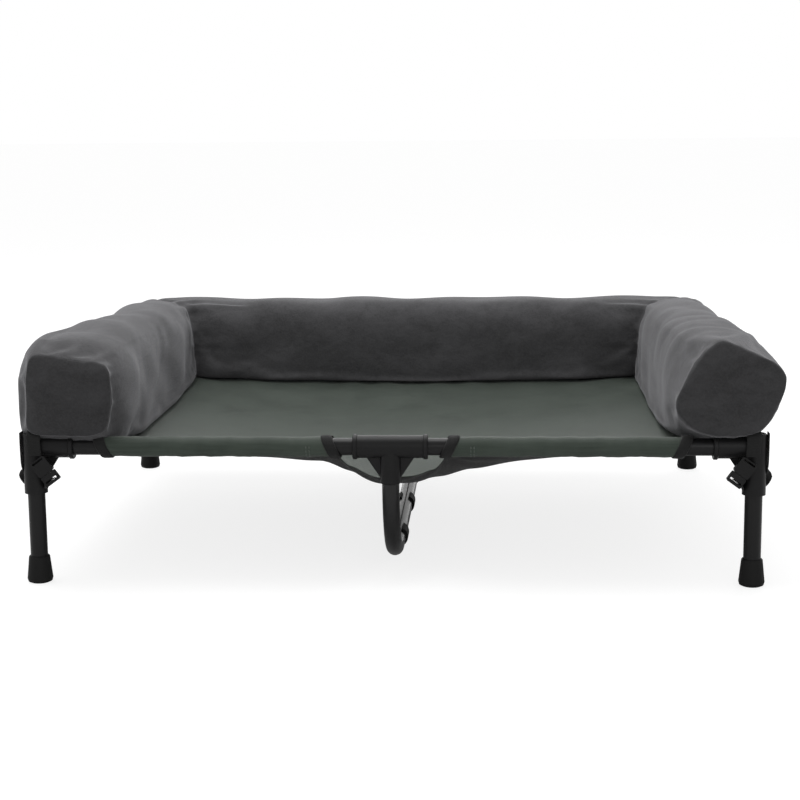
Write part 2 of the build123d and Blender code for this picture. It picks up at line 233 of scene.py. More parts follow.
class Finish:
    """A procedural surface: a Principled shader and the nodes that feed it."""

    def __init__(self, name, **uniform):
        """Start the material; uniform gives shader sockets a single value, with _ for a space."""
        self.material = bpy.data.materials.new(name)
        self.material.use_nodes = True
        self.tree = self.material.node_tree
        self.tree.nodes.clear()
        self.shader = self.node("ShaderNodeBsdfPrincipled")
        self.output = self.node("ShaderNodeOutputMaterial", {}, {"Surface": self.shader.outputs[0]})
        for label, value in uniform.items():
            self.shader.inputs[label.replace("_", " ")].default_value = value
        self.place = self.node("ShaderNodeTexCoord").outputs["Object"]
        self.cloth = None

    def node(self, kind, settings=None, inputs=None):
        """A node of this finish."""
        return add_node(self.tree, kind, settings, inputs)

    def uv(self):
        """The piece's own cloth map, in metres along and across."""
        if self.cloth is None:
            self.cloth = self.node("ShaderNodeUVMap", {"uv_map": "cloth"}).outputs["UV"]
        return self.cloth

    def scaled(self, vector, scale, turn=(0, 0, 0)):
        """A pattern space stretched and turned by a Mapping node."""
        inputs = {"Vector": vector, "Scale": scale, "Rotation": turn}
        return self.node("ShaderNodeMapping", {}, inputs).outputs[0]

    def noise(self, scale, detail=2.0, vector=None, rough=0.5, distortion=0.0):
        """Cloudy noise from 0 to 1, in object space unless another vector is given."""
        inputs = {
            "Vector": vector or self.place,
            "Scale": scale,
            "Detail": detail,
            "Roughness": rough,
            "Distortion": distortion,
        }
        return Value(self, self.node("ShaderNodeTexNoise", {}, inputs).outputs["Fac"])

    def part(self, vector, axis):
        """One coordinate of a vector."""
        return Value(self, self.node("ShaderNodeSeparateXYZ", {}, {0: vector}).outputs[axis])

    def between(self, value, low, high):
        """0 below low, 1 above high, smooth between."""
        settings = {"interpolation_type": "SMOOTHSTEP"}
        inputs = {"Value": value, "From Min": low, "From Max": high}
        return Value(self, self.node("ShaderNodeMapRange", settings, inputs).outputs["Result"])

    def mix(self, factor, first, second):
        """A colour between two others."""
        inputs = {0: factor, 6: first, 7: second}
        return self.node("ShaderNodeMix", {"data_type": "RGBA"}, inputs).outputs[2]

    def bump(self, height, distance, strength=1.0, under=None):
        """A normal tilted by a height pattern, on top of another such normal where one is given."""
        inputs = {"Height": height, "Distance": distance, "Strength": strength}
        if under is not None:
            inputs["Normal"] = under
        return self.node("ShaderNodeBump", {}, inputs).outputs[0]

    def feed(self, label, value):
        """Link a varying value to the shader."""
        if isinstance(value, Value):
            value = value.socket
        self.tree.links.new(value, self.shader.inputs[label])


def gray(level, tint=(1.0, 1.0, 1.0)):
    """A neutral colour, slightly tinted."""
    return (level * tint[0], level * tint[1], level * tint[2], 1.0)


def plush_finish(name, level):
    """Short brushed pile: patchy nap, fine fibre and a soft sheen."""
    finish = Finish(name, Roughness=0.92, Sheen_Weight=0.28, Sheen_Roughness=0.38)
    finish.shader.inputs["Sheen Tint"].default_value = gray(0.75, (0.98, 0.98, 1.02))
    finish.shader.inputs["Specular IOR Level"].default_value = 0.10
    swept = finish.scaled(finish.place, (1.0, 0.45, 1.6), (0.3, 0.5, 0.2))
    nap = finish.noise(16.0, 4.0, swept, 0.6, 1.2)
    fine_nap = finish.noise(70.0, 3.0, swept, 0.6, 0.6)
    fibre = finish.noise(1500.0, 2.0)
    tuft = finish.noise(420.0, 2.0)
    mask = finish.between(nap * 0.65 + fine_nap * 0.35, 0.32, 0.68)
    shade = finish.mix(mask, gray(level * 0.78, (1.0, 0.99, 1.02)), gray(level * 1.22, (1.0, 0.99, 1.03)))
    speck = finish.between(fibre * 0.5 + tuft * 0.5, 0.36, 0.64)
    finish.feed("Base Color", finish.mix(speck * 0.35, shade, gray(level * 1.6, (1.0, 0.99, 1.03))))
    soft = finish.bump(fine_nap, 0.0012, 0.5)
    finish.feed("Normal", finish.bump(fibre * 0.4 + tuft * 0.6, 0.0005, 0.7, soft))
    return finish.material


def weave(finish, vector, pitch):
    """Height of a plain weave: warp and weft threads that take turns on top."""
    u = finish.part(vector, 0) * (math.pi / pitch)
    v = finish.part(vector, 1) * (math.pi / pitch)
    warp = u.math("SINE").math("ABSOLUTE")
    weft = v.math("SINE").math("ABSOLUTE")
    over = (u * 0.5).math("SINE") * (v * 0.5).math("SINE")
    turn = finish.between(over, -0.3, 0.3)
    return warp * turn + weft * (1.0 - turn)


def cloth_finish(name, dark, light, rough):
    """Coated oxford cloth: a fine plain weave under a thin satin coat."""
    finish = Finish(name, Roughness=rough, Sheen_Weight=0.08, Sheen_Roughness=0.5)
    finish.shader.inputs["Specular IOR Level"].default_value = 0.22
    threads = weave(finish, finish.uv(), 0.00062)
    cloud = finish.noise(22.0, 4.0, None, 0.55)
    slub = finish.noise(160.0, 2.0, finish.scaled(finish.uv(), (0.15, 2.2, 1.0)))
    mask = finish.between(cloud * 0.5 + slub * 0.3 + threads * 0.2, 0.30, 0.66)
    finish.feed("Base Color", finish.mix(mask, dark, light))
    finish.feed("Roughness", cloud * 0.16 + (rough - 0.06))
    wide = finish.bump(cloud, 0.0016, 0.35)
    finish.feed("Normal", finish.bump(threads, 0.00022, 0.55, wide))
    return finish.material


def webbing_finish(name, level, pitch=0.0017):
    """Ribbed woven tape: cross ribs with a slanted twill over them."""
    finish = Finish(name, Roughness=0.72, Sheen_Weight=0.06, Sheen_Roughness=0.4)
    finish.shader.inputs["Specular IOR Level"].default_value = 0.15
    u = finish.part(finish.uv(), 0)
    v = finish.part(finish.uv(), 1)
    ribs = (u * (math.pi / pitch)).math("SINE").math("ABSOLUTE")
    cords = (v * (math.pi / 0.0011) + u * (math.pi / pitch)).math("SINE").math("ABSOLUTE")
    height = ribs * 0.6 + cords * 0.4
    fuzz = finish.noise(900.0, 2.0)
    finish.feed("Base Color", finish.mix(height * 0.7 + fuzz * 0.3, gray(level * 0.55), gray(level * 1.5)))
    finish.feed("Normal", finish.bump(height, 0.0004, 0.8))
    return finish.material


def coated_steel_finish(name, rough, peel, coat):
    """Black coated steel: faint orange peel, smudges and light rubbing."""
    finish = Finish(name, Metallic=0.0, Coat_Weight=coat, Coat_Roughness=0.12)
    finish.shader.inputs["Specular IOR Level"].default_value = 0.16
    smudge = finish.noise(38.0, 4.0, None, 0.6)
    grain = finish.noise(900.0, 2.0)
    scuff = finish.between(finish.noise(9.0, 6.0, finish.scaled(finish.place, (6, 6, 1)), 0.7), 0.62, 0.74)
    color = finish.mix(smudge * 0.6, gray(0.0045, (1.0, 0.98, 1.02)), gray(0.008, (1.0, 0.98, 1.04)))
    finish.feed("Base Color", finish.mix(scuff * 0.30, color, gray(0.020)))
    finish.feed("Roughness", smudge * 0.16 + scuff * 0.12 + rough)
    finish.feed("Normal", finish.bump(grain, peel, 0.35))
    return finish.material


def moulded_finish(name, rough=0.40, level=0.006):
    """Black moulded plastic: fine spark-eroded texture and soft handling marks."""
    finish = Finish(name)
    finish.shader.inputs["Specular IOR Level"].default_value = 0.15
    spark = finish.noise(2600.0, 3.0, None, 0.7)
    cloud = finish.noise(30.0, 4.0, None, 0.6)
    finish.feed("Base Color", finish.mix(cloud, gray(level * 0.8), gray(level * 1.3, (1.0, 0.99, 1.05))))
    finish.feed("Roughness", cloud * 0.14 + spark * 0.08 + (rough - 0.10))
    finish.feed("Normal", finish.bump(spark, 0.00012, 0.5, finish.bump(cloud, 0.0006, 0.15)))
    return finish.material


def rubber_finish(name):
    """Matte rubber, dusty toward the floor."""
    finish = Finish(name)
    finish.shader.inputs["Specular IOR Level"].default_value = 0.12
    grain = finish.noise(1200.0, 3.0, None, 0.7)
    dust = finish.between(finish.noise(60.0, 5.0, None, 0.65), 0.45, 0.75)
    height = finish.part(finish.place, 2)
    low = 1.0 - finish.between(height, 0.0, 0.014)
    worn = dust * low
    finish.feed("Base Color", finish.mix(worn * 0.5, gray(0.008), gray(0.030, (1.0, 0.97, 0.92))))
    finish.feed("Roughness", worn * 0.15 + grain * 0.1 + 0.55)
    finish.feed("Normal", finish.bump(grain, 0.0002, 0.5))
    return finish.material


def thread_finish(name, color):
    """Twisted sewing thread."""
    finish = Finish(name, Roughness=0.6, Sheen_Weight=0.3)
    twist = finish.noise(2200.0, 2.0)
    finish.feed("Base Color", finish.mix(twist, tuple(c * 0.6 for c in color[:3]) + (1,), color))
    finish.feed("Normal", finish.bump(twist, 0.0002, 0.6))
    return finish.material


def fibre_finish(name):
    """Loose white polyester fibre."""
    finish = Finish(name, Roughness=0.95)
    clump = finish.noise(60.0, 5.0, None, 0.7)
    finish.feed("Base Color", finish.mix(clump, gray(0.62), gray(0.85)))
    finish.feed("Normal", finish.bump(clump, 0.004, 0.8))
    return finish.material


PLUSH = plush_finish("plush", 0.050)
# a darker copy of the same plush for the end panels: painted shade standing in for the shade on their
# front-facing faces
PLUSH_END_PAINTED_SHADE = plush_finish("plush_end_panel_painted_shade", 0.029)
GREEN_DARK = (0.0158, 0.0232, 0.0168, 1)
GREEN_LIGHT = (0.034, 0.0445, 0.035, 1)
CLOTH = cloth_finish("green_cloth", GREEN_DARK, GREEN_LIGHT, 0.56)
CLOTH_BACK = cloth_finish("black_coating", gray(0.004), gray(0.008), 0.42)
TAPE = webbing_finish("binding_tape", 0.009, 0.0012)
WEBBING = webbing_finish("strap_webbing", 0.009)
STEEL = coated_steel_finish("powder_coat", 0.30, 0.00012, 0.05)
GLOSS = coated_steel_finish("gloss_enamel", 0.14, 0.00004, 0.25)
MOULDED = moulded_finish("moulded_black")
BUCKLE = moulded_finish("buckle_black", 0.34)
RUBBER = rubber_finish("foot_rubber")
THREAD_GREEN = thread_finish("green_thread", (0.045, 0.060, 0.047, 1))
FIBRE = fibre_finish("filling_fibre")


def dress(piece, *materials):
    """Give a piece its materials."""
    piece.data.materials.clear()
    for material in materials:
        piece.data.materials.append(material)
    return piece


# ---------------------------------------------------------------- camera, floor and light
CAMERA_PLACE = (0.1104, -2.0834, 0.5123)
CAMERA_PITCH = 0.1705
CAMERA_YAW = -0.0558
CAMERA_ROLL = -0.0098
CAMERA_LENS = 74.89
CAMERA_SENSOR = 36.0
# the camera sees this share of the floor as a glow of this strength, so shadows on it stay light
FLOOR_GLOW = 0.66
FLOOR_GLOW_STRENGTH = 1.22
FLOOR_HALF = 30.0
AMBIENT = 0.72
WHITE = (1, 1, 1, 1)
# lamps: name, place, point it faces, size and power in watts
LAMPS = (
    ("key", (-0.5, 0.4, 2.6), (0, 0, 0.15), (2.4, 1.8), 64),
    ("back_light", (0.6, 2.4, 1.5), (0, 0, 0.2), (2.4, 1.2), 26),
    ("front_fill", (0.8, -3.2, 1.3), (0, 0, 0.1), (2.0, 1.2), 16),
)


def camera():
    """A camera looking slightly down and slightly left, with a touch of roll."""
    pitch, yaw, roll = CAMERA_PITCH, CAMERA_YAW, CAMERA_ROLL
    ahead = np.array([math.cos(pitch) * math.sin(yaw), math.cos(pitch) * math.cos(yaw), -math.sin(pitch)])
    level = np.array([math.cos(yaw), -math.sin(yaw), 0.0])
    above = np.cross(level, ahead)
    right = math.cos(roll) * level + math.sin(roll) * above
    up = math.cos(roll) * above - math.sin(roll) * level
    turn = np.stack([right, up, -ahead], -1)
    data = bpy.data.cameras.new("camera")
    data.lens = CAMERA_LENS
    data.sensor_width = CAMERA_SENSOR
    view = bpy.data.objects.new("camera", data)
    view.matrix_world = Matrix.Translation(CAMERA_PLACE) @ Matrix(turn.tolist()).to_4x4()
    bpy.context.scene.collection.objects.link(view)
    bpy.context.scene.camera = view


def area_light(name, place, aim, size, power):
    """A large soft lamp at a place, pointed at another."""
    data = bpy.data.lights.new(name, "AREA")
    data.shape = "RECTANGLE"
    data.size, data.size_y = size
    data.energy = power
    lamp = bpy.data.objects.new(name, data)
    back = unit(np.array(place) - np.array(aim))
    side = unit(np.cross((0, 0, 1), back)) if abs(back[2]) < 0.999 else np.array([1.0, 0, 0])
    up = np.cross(back, side)
    turn = Matrix(np.stack([side, up, back], -1).tolist()).to_4x4()
    lamp.matrix_world = Matrix.Translation(place) @ turn
    bpy.context.scene.collection.objects.link(lamp)


def floor_finish():
    """Pale matte paper that the camera sees partly as an even glow."""
    finish = Finish("floor_paper", Roughness=0.9)
    finish.feed("Base Color", finish.mix(finish.noise(3.0), gray(0.70), gray(0.73)))
    glow = finish.node("ShaderNodeEmission", {}, {"Strength": FLOOR_GLOW_STRENGTH})
    seen = Value(finish, finish.node("ShaderNodeLightPath").outputs["Is Camera Ray"])
    inputs = {0: seen * FLOOR_GLOW, 1: finish.shader.outputs[0], 2: glow.outputs[0]}
    surface = finish.node("ShaderNodeMixShader", {}, inputs)
    finish.tree.links.new(surface.outputs[0], finish.output.inputs["Surface"])
    return finish.material


def surround():
    """White behind everything, and a softer even light on the object."""
    world = bpy.data.worlds.new("surround")
    bpy.context.scene.world = world
    world.use_nodes = True
    tree = world.node_tree
    tree.nodes.clear()
    ambient = add_node(tree, "ShaderNodeBackground", {}, {"Color": WHITE, "Strength": AMBIENT})
    backdrop = add_node(tree, "ShaderNodeBackground", {}, {"Color": WHITE, "Strength": 1.0})
    seen = add_node(tree, "ShaderNodeLightPath").outputs["Is Camera Ray"]
    inputs = {0: seen, 1: ambient.outputs[0], 2: backdrop.outputs[0]}
    mixed = add_node(tree, "ShaderNodeMixShader", {}, inputs)
    add_node(tree, "ShaderNodeOutputWorld", {}, {"Surface": mixed.outputs[0]})


def studio():
    """A pale floor that runs out of sight, a white surround and three soft lamps."""
    bpy.context.scene.view_settings.view_transform = "Standard"
    points = np.array([[-1, -1, 0], [1, -1, 0], [1, 1, 0], [-1, 1, 0]]) * FLOOR_HALF
    mesh = bpy.data.meshes.new("floor")
    mesh.from_pydata(points.tolist(), [], [(0, 1, 2, 3)])
    floor = bpy.data.objects.new("floor", mesh)
    bpy.context.scene.collection.objects.link(floor)
    dress(floor, floor_finish())
    surround()
    for lamp in LAMPS:
        area_light(*lamp)


# ---------------------------------------------------------------- frame parts
def bevel(piece, width):
    """Round the sharp edges of a moulded part."""
    modifier = piece.modifiers.new("soft_edges", "BEVEL")
    modifier.width = width
    modifier.segments = 2
    modifier.limit_method = "ANGLE"
    modifier.angle_limit = math.radians(40)


def finish_frame_parts():
    """Tubes, mouldings, caps, pads and buckles keep their designed shape and get their finish."""
    by_slot = {
        "tube_steel": STEEL,
        "hoop_gloss": GLOSS,
        "moulded_black": MOULDED,
        "foot_rubber": RUBBER,
        "buckle_plastic": BUCKLE,
        "sling_cloth": CLOTH,
        "binding_tape": TAPE,
        "bolster_plush": PLUSH,
        "webbing": WEBBING,
        "filling": FIBRE,
    }
    widths = {"moulded_black": 0.0007, "buckle_plastic": 0.0005, "foot_rubber": 0.0005}
    for part in frame["record"]["subparts"]:
        node = frame["nodes"][part["node"]]
        dress(node, by_slot[part["material_slot"]])
        if part["material_slot"] in widths:
            bevel(node, widths[part["material_slot"]])


# ---------------------------------------------------------------- sling
CLOTH_THICKNESS = 0.0009
SHEET_EDGE_Z = RAIL_Z - 0.003
SHEET_SIDE = RAIL_X - TUBE_R - 0.001
SHEET_END = RAIL_Y - TUBE_R - 0.001
CORNER_START_X = SLEEVE_OUT + 0.004
CORNER_START_Y = SIDE_END + 0.004
NOTCH_HALF = SLEEVE_IN
NOTCH_DEPTH = 0.016
MOUTH_SLANT = 0.0045
# depths of the hanging cloth: the broad dish, the pouch behind the front tee and the two open edges
DISH_DEPTH = 0.044
POUCH_DEPTH = 0.025
POUCH_PLACE = (-0.008, -0.225)
POUCH_LEFT = 0.050
POUCH_RIGHT = 0.105
POUCH_LONG = 0.075
FRONT_DROOP = 0.013
REAR_DROOP = 0.007
EDGE_FADE = 0.05
# sleeves: points round the section, gap between cloth and tube, and length of cloth between UV steps
SECTION_POINTS = 34
SLEEVE_GAP = 0.0012
UV_STEP = 0.002


def front_edge(x):
    """How far forward the sheet reaches at x: the edge, less a straight slant past the corner's start,
    less a notch at the tee that fades out over 12 mm."""
    slant = (SHEET_END - CORNER_START_Y) / (SHEET_SIDE - CORNER_START_X)
    corner = np.clip(np.abs(x) - CORNER_START_X, 0, None) * slant
    notch = NOTCH_DEPTH * np.clip((NOTCH_HALF - np.abs(x)) / 0.012, 0, 1) ** 0.7
    return SHEET_END - corner - notch


def sag(x, y):
    """Depth of the hanging cloth: a broad dish, a bell-shaped pouch behind the front tee and drooping edges.

    The dish is t^0.75 (1-t)^1.25 along y, scaled to reach 1, times 1 - |x|^2.4 across."""
    t = np.clip((y + SHEET_END) / (2 * SHEET_END), 0, 1)
    along = t ** 0.75 * (1 - t) ** 1.25 / 0.266
    across = np.clip(1 - np.abs(x / SHEET_SIDE) ** 2.4, 0, 1)
    broad = DISH_DEPTH * along * across
    pouch_x, pouch_y = POUCH_PLACE
    spread = np.where(x < pouch_x, POUCH_LEFT, POUCH_RIGHT)
    pouch = POUCH_DEPTH * np.exp(-((x - pouch_x) / spread) ** 2 - ((y - pouch_y) / POUCH_LONG) ** 2)
    open_edge = np.clip(1 - (x / (NOTCH_HALF + 0.004)) ** 2, 0, 1)
    droop = FRONT_DROOP * open_edge * np.exp(-((y + SHEET_END) / EDGE_FADE) ** 2)
    rear_droop = REAR_DROOP * open_edge * np.exp(-((y - SHEET_END) / EDGE_FADE) ** 2)
    return broad + pouch + droop + rear_droop


def creases(x, y):
    """Soft pull lines: sines of the angle about each corner and tee, and of x along front and back rails."""
    height = np.zeros_like(x)
    for sx, sy in CORNERS.values():
        angle = np.arctan2(SHEET_END - sy * y, SHEET_SIDE - sx * x)
        reach = np.hypot(SHEET_END - sy * y, SHEET_SIDE - sx * x)
        fade = np.exp(-((reach - 0.11) / 0.09) ** 2)
        height += 0.0011 * np.sin(angle * 17 + sx + 2 * sy) * fade
    for sy in (-1, 1):
        gap = SHEET_END - sy * y
        height += 0.0007 * np.sin(x * 95 + 3 * np.sin(x * 11)) * np.exp(-gap / 0.035)
        fan = np.arctan2(gap, np.abs(x) - NOTCH_HALF)
        near = np.exp(-((np.hypot(gap, np.abs(x) - NOTCH_HALF) - 0.06) / 0.05) ** 2)
        height += 0.0010 * np.sin(fan * 11) * near
    rim = np.clip(np.minimum(SHEET_END - np.abs(y), SHEET_SIDE - np.abs(x)) / 0.01, 0, 1)
    return height * rim


def sling_sheet():
    """The hanging sheet: a grid between its front and back edges, lowered by its sag."""
    half = np.unique(np.concatenate([
        np.linspace(0, NOTCH_HALF - 0.013, 12),
        np.linspace(NOTCH_HALF - 0.013, NOTCH_HALF + 0.004, 8),
        np.linspace(NOTCH_HALF + 0.004, CORNER_START_X, 44),
        np.linspace(CORNER_START_X, SHEET_SIDE, 12),
    ]))
    xs = np.concatenate([-half[:0:-1], half])
    rows = 0.5 - 0.5 * np.cos(np.linspace(0, np.pi, 121))
    x, row = np.meshgrid(xs, rows, indexing="ij")
    reach = front_edge(x)
    y = -reach + 2 * reach * row
    z = SHEET_EDGE_Z - sag(x, y) + creases(x, y)
    return x, y, z


def sleeve_section():
    """Teardrop round a rail, as (inward, up) offsets: up from the sheet, over the tube and back under it."""
    around = np.linspace(math.radians(10), math.radians(350), SECTION_POINTS)
    ring = TUBE_R + SLEEVE_GAP
    inward = -ring * np.cos(around + np.pi)
    up = ring * np.sin(around)
    tail = np.array([[0.030, -0.0075], [0.022, -0.0055], [0.0145, -0.0040]])
    ring_points = np.stack([inward, up], -1)
    under = np.array([[0.0145, -0.0056], [0.022, -0.0078], [0.030, -0.0105]])
    return np.vstack([tail, ring_points, under])


def sleeve_grid(start, end, leans):
    """A sleeve from start to end along a rail: its section carried straight, with a faint ripple.

    A mouth leans back at the top where its lean is 1, and out where it is -1."""
    section = sleeve_section()
    steps = max(8, int(abs(end - start) / 0.006))
    t = np.linspace(0, 1, steps)
    lean = section[:, 1] / TUBE_R * MOUTH_SLANT
    low = start + lean * leans[0]
    high = end - lean * leans[1]
    run = low[None, :] + (high - low)[None, :] * t[:, None]
    ripple = 0.00035 * np.sin(run * 140 + 2 * np.sin(run * 31)) + 0.0002 * np.sin(run * 420)
    inward = np.broadcast_to(section[:, 0], run.shape)
    up = section[None, :, 1] + ripple * (np.abs(section[None, :, 1]) > 0.004)
    return run, inward, up


def sling():
    """Sheet and six sleeves as one cloth, with real thickness; green outside, black coating beneath."""
    x, y, z = sling_sheet()
    points = [np.stack([x, y, z], -1).reshape(-1, 3)]
    uvs = [np.stack([x, y], -1).reshape(-1, 2)]
    faces = [grid_faces(*x.shape)]
    offset = x.size
    for sy in (-1, 1):
        for sx in (-1, 1):
            low, high = sorted((sx * SLEEVE_IN, sx * SLEEVE_OUT))
            run, inward, up = sleeve_grid(low, high, (sx, -sx))
            block = np.stack([run, sy * (RAIL_Y - inward), RAIL_Z + up], -1)
            quads = grid_faces(*run.shape) + offset
            faces.append(quads if sy > 0 else quads[:, ::-1])
            points.append(block.reshape(-1, 3))
            girth = np.broadcast_to(np.arange(run.shape[1]) * UV_STEP, run.shape)
            uvs.append(np.stack([run, girth], -1).reshape(-1, 2))
            offset += run.size
    for sx in (-1, 1):
        run, inward, up = sleeve_grid(-SIDE_END, SIDE_END, (1, 1))
        block = np.stack([sx * (RAIL_X - inward), run, RAIL_Z + up], -1)
        quads = grid_faces(*run.shape) + offset
        faces.append(quads[:, ::-1] if sx > 0 else quads)
        points.append(block.reshape(-1, 3))
        girth = np.broadcast_to(np.arange(run.shape[1]) * UV_STEP, run.shape)
        uvs.append(np.stack([run, girth], -1).reshape(-1, 2))
        offset += run.size
    points, uvs = np.vstack(points), np.vstack(uvs)
    piece = piece_from("sling_cloth", points, faces, "frame", uvs)
    wall = piece.modifiers.new("cloth_thickness", "SOLIDIFY")
    wall.thickness = CLOTH_THICKNESS
    wall.offset = 0.0
    wall.material_offset = 1
    dress(piece, CLOTH, CLOTH_BACK)
    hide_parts("sling")
    section = sleeve_section()
    girth = float(np.linalg.norm(np.diff(section, axis=0), axis=1).sum())
    cut = (2 * SHEET_SIDE + 2 * girth, 2 * SHEET_END + 2 * girth)
    cloth_area = sum(face.area for face in piece.data.polygons)
    return piece, cut, cloth_area


def mouth_binding(name, place, toward, rail_axis, side, lean_sign=1):
    """Tape folded over a sleeve's mouth: the sleeve's section, set out a little, over the last centimetre.

    Along the rail it runs from just past the mouth inwards; the lean follows the mouth's slant."""
    section = sleeve_section()
    outward = unit(np.gradient(section, axis=0) @ np.array([[0, 1], [-1, 0]]))
    flip = np.sign(np.sum(outward[10:24] * section[10:24], -1).mean())
    steps = np.array([-0.0012, -0.0006, 0.0010, 0.0055, 0.0098, 0.0106])
    lift = np.array([0.0003, 0.0011, 0.0015, 0.0015, 0.0013, 0.0005])
    lean = section[:, 1] / TUBE_R * MOUTH_SLANT * lean_sign
    shape = section[None] + flip * outward[None] * lift[:, None, None]
    run = place + toward * (steps[:, None] + lean[None, :])
    inward, up = shape[..., 0], shape[..., 1]
    if rail_axis == 0:
        points = np.stack([run, side * (RAIL_Y - inward), RAIL_Z + up], -1)
    else:
        points = np.stack([side * (RAIL_X - inward), run, RAIL_Z + up], -1)
    uv = np.stack(np.broadcast_arrays(np.arange(len(section))[None] * UV_STEP, steps[:, None]), -1)
    quads = grid_faces(*run.shape)
    if toward * side * (1 if rail_axis == 0 else -1) < 0:
        quads = quads[:, ::-1]
    tape = piece_from(name, points, [quads], "frame", uv)
    wall = tape.modifiers.new("tape_thickness", "SOLIDIFY")
    wall.thickness = 0.0007
    wall.offset = 1.0
    dress(tape, TAPE)
    return tape


def bindings_and_stitches():
    """Tape at both mouths of all six sleeves, and stitches on the four front and back ones.

    Rows a and b run along the hem, rows c and d go round the sleeve near its inner mouth."""
    trims = []
    for face, sy in (("front", -1), ("back", 1)):
        for side, sx in (("left", -1), ("right", 1)):
            inner = mouth_binding(f"binding_{face}_{side}_inner", sx * SLEEVE_IN, sx, 0, sy)
            outer = mouth_binding(f"binding_{face}_{side}_outer", sx * SLEEVE_OUT, -sx, 0, sy, -1)
            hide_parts(f"sleeve_binding_{face}_{side}")
            trims += [inner, outer]
            for row, inset in (("a", 0.0245), ("b", 0.0280)):
                x = np.linspace(sx * (SLEEVE_IN + 0.014), sx * (SLEEVE_OUT - 0.014), 60)
                y = np.full_like(x, sy * (RAIL_Y - inset))
                z = SHEET_EDGE_Z - sag(x, y) + creases(x, y) + 0.0007
                path = np.stack([x, y, np.maximum(z, RAIL_Z - 0.0062)], -1)
                name = f"stitch_{face}_{side}_{row}"
                trims.append(stitch_row(name, path, (0, 0, 1), "frame"))
                dress(trims[-1], THREAD_GREEN)
            ring = TUBE_R + SLEEVE_GAP + CLOTH_THICKNESS / 2 + 0.0001
            for row, place in (("c", 0.0880), ("d", 0.0915)):
                turn = np.radians(np.linspace(20, -95, 40))
                path = np.stack([
                    np.full_like(turn, sx * place),
                    sy * (RAIL_Y + ring * np.cos(turn)),
                    RAIL_Z + ring * np.sin(turn),
                ], -1)
                out = np.stack([0 * turn, sy * np.cos(turn), np.sin(turn)], -1)
                name = f"stitch_{face}_{side}_{row}"
                trims.append(stitch_row(name, path, out, "frame"))
                dress(trims[-1], THREAD_GREEN)
    for side, sx in (("left", -1), ("right", 1)):
        front = mouth_binding(f"binding_side_{side}_front", -SIDE_END, 1, 1, sx)
        back = mouth_binding(f"binding_side_{side}_back", SIDE_END, -1, 1, sx)
        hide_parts(f"sleeve_binding_side_{side}")
        trims += [front, back]
    return trims


# ---------------------------------------------------------------- bolster
ROUND = 64
TURN = np.linspace(0, 2 * np.pi, ROUND, endpoint=False)
ROLL_DROOP = 0.036
PANEL_POWER = 6.5
ROLL_POWER = 2.75
# end panels: corners as (x, z), going round clockwise from the upper left
LEFT_PANEL = ((-0.3940, 0.2610), (-0.3020, 0.2485), (-0.3085, 0.1675), (-0.4030, 0.1665))
RIGHT_PANEL = (
    (0.3500, 0.2800), (0.4270, 0.2410), (0.4265, 0.2120),
    (0.3980, 0.1680), (0.3360, 0.1640), (0.3000, 0.1985),
)
PANEL_BULGE = 0.0110
PANEL_SETBACK = 0.0022
# crest height of each roll against distance along the U, as (part of the way, height) pairs
LEFT_CREST = ((0.0, 0.270), (0.15, 0.277), (0.35, 0.275), (0.6, 0.268), (1.0, 0.262))
RIGHT_CREST = ((0.0, 0.263), (0.4, 0.268), (0.65, 0.275), (0.85, 0.279), (1.0, 0.276))
BACK_CREST = 0.259
CORNER_CREST = 0.2605
MITRE_REACH = 0.15
# how far the sides swell past the CAD width, and over what distance an end takes its panel's outline
LEFT_FULLER, RIGHT_FULLER = 0.0125, 0.0085
LEFT_BLEND, RIGHT_BLEND = 0.022, 0.070
NOT_AT_AN_END = 9.0
# lumps and folds lie at random, crescents near the right end as (distance, depth), gathers at each mitre
LUMPS = 12
FOLDS = 18
CRESCENTS = ((0.085, 0.0016), (0.140, 0.0020), (0.205, 0.0018), (0.280, 0.0015))
GATHERS = 14
# the cushions' pressure simulation
CLOTH_SETTINGS = {
    "quality": 5,
    "mass": 0.25,
    "tension_stiffness": 12,
    "compression_stiffness": 10,
    "shear_stiffness": 4,
    "bending_stiffness": 0.35,
    "use_pressure": True,
    "uniform_pressure_force": 3.0,
    "vertex_group_mass": "held",
    "shrink_min": -0.002,
}
SWELL_FRAMES = 18
SWELL_LIMIT = 0.005


def rounded_polygon(corners, power):
    """Distance from the middle to a convex outline in each direction of TURN.

    It is the p-norm of each edge's reach, cos(angle to the edge's normal) / edge distance, turned over;
    a higher power is squarer."""
    corners = np.asarray(corners, float)
    edge = np.roll(corners, -1, axis=0) - corners
    normal = unit(np.stack([edge[:, 1], -edge[:, 0]], -1))
    distance = np.sum(normal * corners, axis=1)
    heading = np.stack([np.cos(TURN), np.sin(TURN)], -1)
    reach = np.clip(heading @ normal.T, 0, None) / distance
    return np.sum(reach ** power, axis=1) ** (-1 / power)


def panel_ring(corners, mirror):
    """Middle and radii of an end panel; mirror turns its x over, for a roll whose outside is at -x."""
    corners = np.asarray(corners, float)
    centre = corners.mean(axis=0)
    local = corners - centre
    local = local * (-1, 1) if mirror else local[::-1]
    return centre, rounded_polygon(local, PANEL_POWER)


def roll_ring(wide, crest, droop):
    """Middle height and radii of a roll: a rounded four-cornered outline, level with the rails outside
    and drooping toward the sheet inside."""
    middle_z = 0.5 * (crest + ROLL_BOTTOM - 0.010)
    top = crest - middle_z
    outer_foot = ROLL_BOTTOM - 0.004 - middle_z
    inner_foot = ROLL_BOTTOM - droop - middle_z
    corners = ((wide, top), (-wide, top), (-wide, inner_foot), (wide, outer_foot))
    return middle_z, rounded_polygon(corners, ROLL_POWER)


